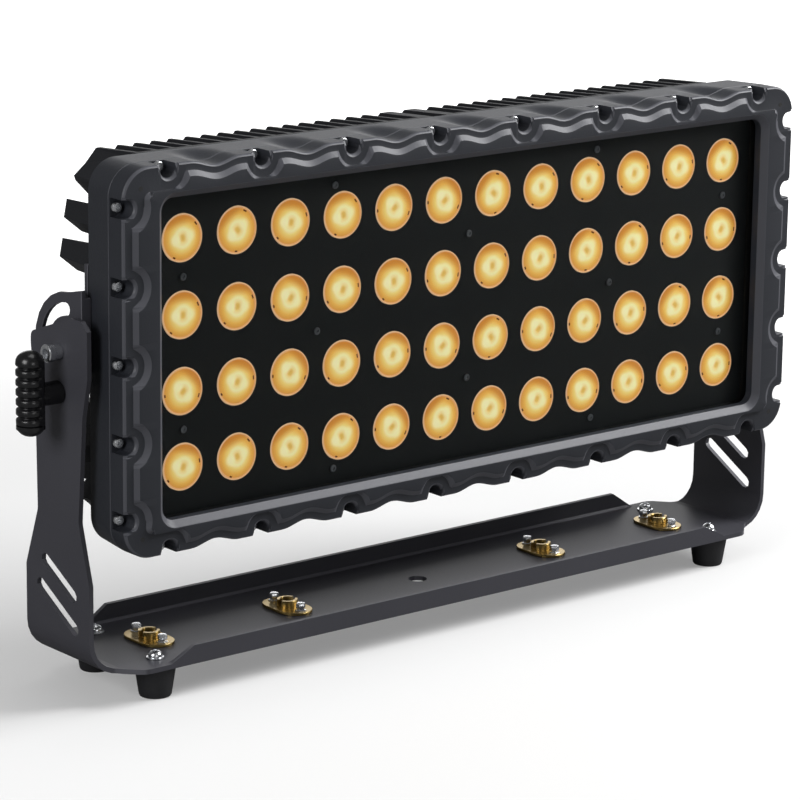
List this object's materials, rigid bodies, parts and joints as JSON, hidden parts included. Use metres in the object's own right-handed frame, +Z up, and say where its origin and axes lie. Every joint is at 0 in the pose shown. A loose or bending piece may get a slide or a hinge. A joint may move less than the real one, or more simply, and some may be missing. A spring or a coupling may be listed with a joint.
{
  "type": "floodlight",
  "caption": "Wide rectangular outdoor stage floodlight: scalloped bezel, grid of lenses, finned back, tilting in a trunnion yoke with a tray base, feet and T-handle clamps",
  "frame": {"origin": "centre of the bounding box's base, on the floor under the four feet", "axes": "+Z up, -Y out of the lenses, +X along the tray towards the right-hand arm seen from behind the camera"},
  "size_m": [0.615, 0.12, 0.3285],
  "materials": {
    "coat": "satin dark grey powder coat on steel",
    "cast": "satin dark grey powder coat on cast aluminium",
    "face": "matt black coat",
    "lens": "clear moulded lens over a warm light source",
    "clear_glass": "clear",
    "rubber": "matt",
    "bright_steel": "bright zinc plated",
    "supply_case": "plain sheet case, filled",
    "yellow_zinc": "yellow zinc plated",
    "black_plastic": "black, slightly glossy",
    "circuit_board": "solder mask"
  },
  "bodies": {
    "yoke": {"yoke": "coat", "foot_left_front": "rubber", "foot_left_back": "rubber", "foot_right_front": "rubber", "foot_right_back": "rubber", "foot_screw_left_front": "bright_steel", "foot_screw_left_back": "bright_steel", "foot_screw_right_front": "bright_steel", "foot_screw_right_back": "bright_steel", "cam_lock_1": "yellow_zinc", "cam_lock_2": "yellow_zinc", "cam_lock_3": "yellow_zinc", "cam_lock_4": "yellow_zinc", "pivot_bolt_left": "bright_steel", "pivot_bolt_right": "bright_steel", "pivot_washer_left": "black_plastic", "pivot_washer_right": "black_plastic", "pivot_nut_left": "bright_steel", "pivot_nut_right": "bright_steel", "clamp_nut_left": "bright_steel", "clamp_nut_right": "bright_steel"},
    "head": {"bezel": "cast", "housing": "cast", "bezel_gasket": "rubber", "glass_seal": "rubber", "front_glass": "clear_glass", "face_plate": "face", "lens_row_1": "lens", "lens_row_2": "lens", "lens_row_3": "lens", "lens_row_4": "lens", "led_board": "circuit_board", "heat_sink_left": "cast", "heat_sink_right": "cast", "quadrant_left": "coat", "quadrant_right": "coat", "driver_box": "cast", "driver_cover": "cast", "power_supply": "supply_case", "control_board": "circuit_board", "display_window": "clear_glass", "socket_power_in": "black_plastic", "socket_power_out": "black_plastic", "socket_data_in": "black_plastic", "socket_data_out": "black_plastic", "vent_plug": "black_plastic", "safety_eye": "bright_steel"},
    "t_handle_left": {"t_handle_left": "black_plastic", "clamp_stud_left": "bright_steel"},
    "t_handle_right": {"t_handle_right": "black_plastic", "clamp_stud_right": "bright_steel"},
    "button_1": {"button_1": "black_plastic"},
    "button_2": {"button_2": "black_plastic"},
    "button_3": {"button_3": "black_plastic"},
    "button_4": {"button_4": "black_plastic"}
  },
  "joints": [
    {"name": "head_tilt", "type": "hinge", "parent": "yoke", "child": "head", "pos_m": [0, -0.005, 0.214], "axis": [1, 0, 0], "range_deg": [-175, 12]},
    {"name": "handle_turn_left", "type": "hinge", "parent": "yoke", "child": "t_handle_left", "pos_m": [-0.279, -0.005, 0.1898], "axis": [-1, 0, 0], "continuous": true},
    {"name": "handle_turn_right", "type": "hinge", "parent": "yoke", "child": "t_handle_right", "pos_m": [0.279, -0.005, 0.1898], "axis": [1, 0, 0], "continuous": true},
    {"name": "button_press_1", "type": "slide", "parent": "head", "child": "button_1", "axis": [0, -1, 0], "range_m": [0, 0.0008], "stiffness_N_per_m": 400, "springref_m": -0.0015},
    {"name": "button_press_2", "type": "slide", "parent": "head", "child": "button_2", "axis": [0, -1, 0], "range_m": [0, 0.0008], "stiffness_N_per_m": 400, "springref_m": -0.0015},
    {"name": "button_press_3", "type": "slide", "parent": "head", "child": "button_3", "axis": [0, -1, 0], "range_m": [0, 0.0008], "stiffness_N_per_m": 400, "springref_m": -0.0015},
    {"name": "button_press_4", "type": "slide", "parent": "head", "child": "button_4", "axis": [0, -1, 0], "range_m": [0, 0.0008], "stiffness_N_per_m": 400, "springref_m": -0.0015}
  ]
}
